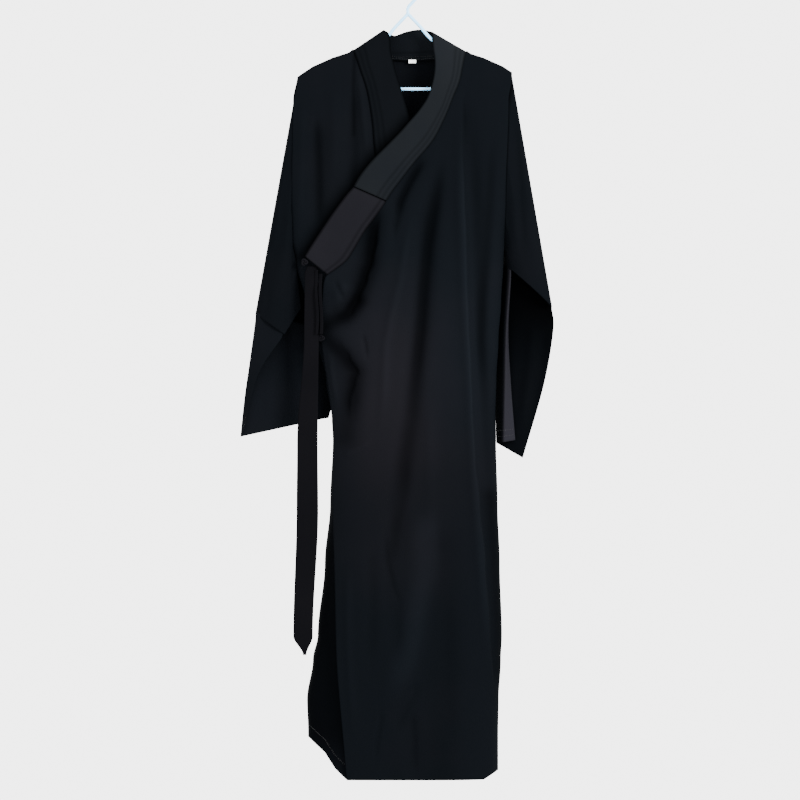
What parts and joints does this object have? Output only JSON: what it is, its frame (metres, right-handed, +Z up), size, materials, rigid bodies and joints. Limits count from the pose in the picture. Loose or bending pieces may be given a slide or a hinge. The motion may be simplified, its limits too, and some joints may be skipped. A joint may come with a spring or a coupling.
{
  "type": "taoist priest robe on a hanger",
  "caption": "Long black crossed-front robe with a band collar, wide hanging sleeves and side ties, on a light plastic clothes hanger.",
  "frame": {"origin": "inner top of the hanger's hook, where a rail would carry it", "axes": "+Z up, the robe's front faces -Y, +X is to the right as seen from the front"},
  "size_m": [0.5822, 0.1262, 1.4888],
  "materials": {
    "hanger_plastic": "smooth light blue plastic",
    "robe_cloth": "matt thin black cloth",
    "collar_cloth": "matt black cloth with rows of stitching",
    "tie_cloth": "matt warm black cloth",
    "label_cloth": "plain pale woven label"
  },
  "bodies": {
    "root": {"hanger": "hanger_plastic", "back": "robe_cloth", "front_overlap": "robe_cloth", "front_underlap": "robe_cloth", "collar_band": "collar_cloth", "collar_end": "tie_cloth", "sleeve_left_upper": "robe_cloth", "sleeve_right_upper": "robe_cloth", "sleeve_left_end": "robe_cloth", "sleeve_right_end": "robe_cloth", "tie_wide": "tie_cloth", "tie_strand_left": "tie_cloth", "tie_strand_right": "tie_cloth", "tie_knot_corner": "tie_cloth", "tie_knot_side": "tie_cloth", "neck_label": "label_cloth"}
  },
  "joints": []
}
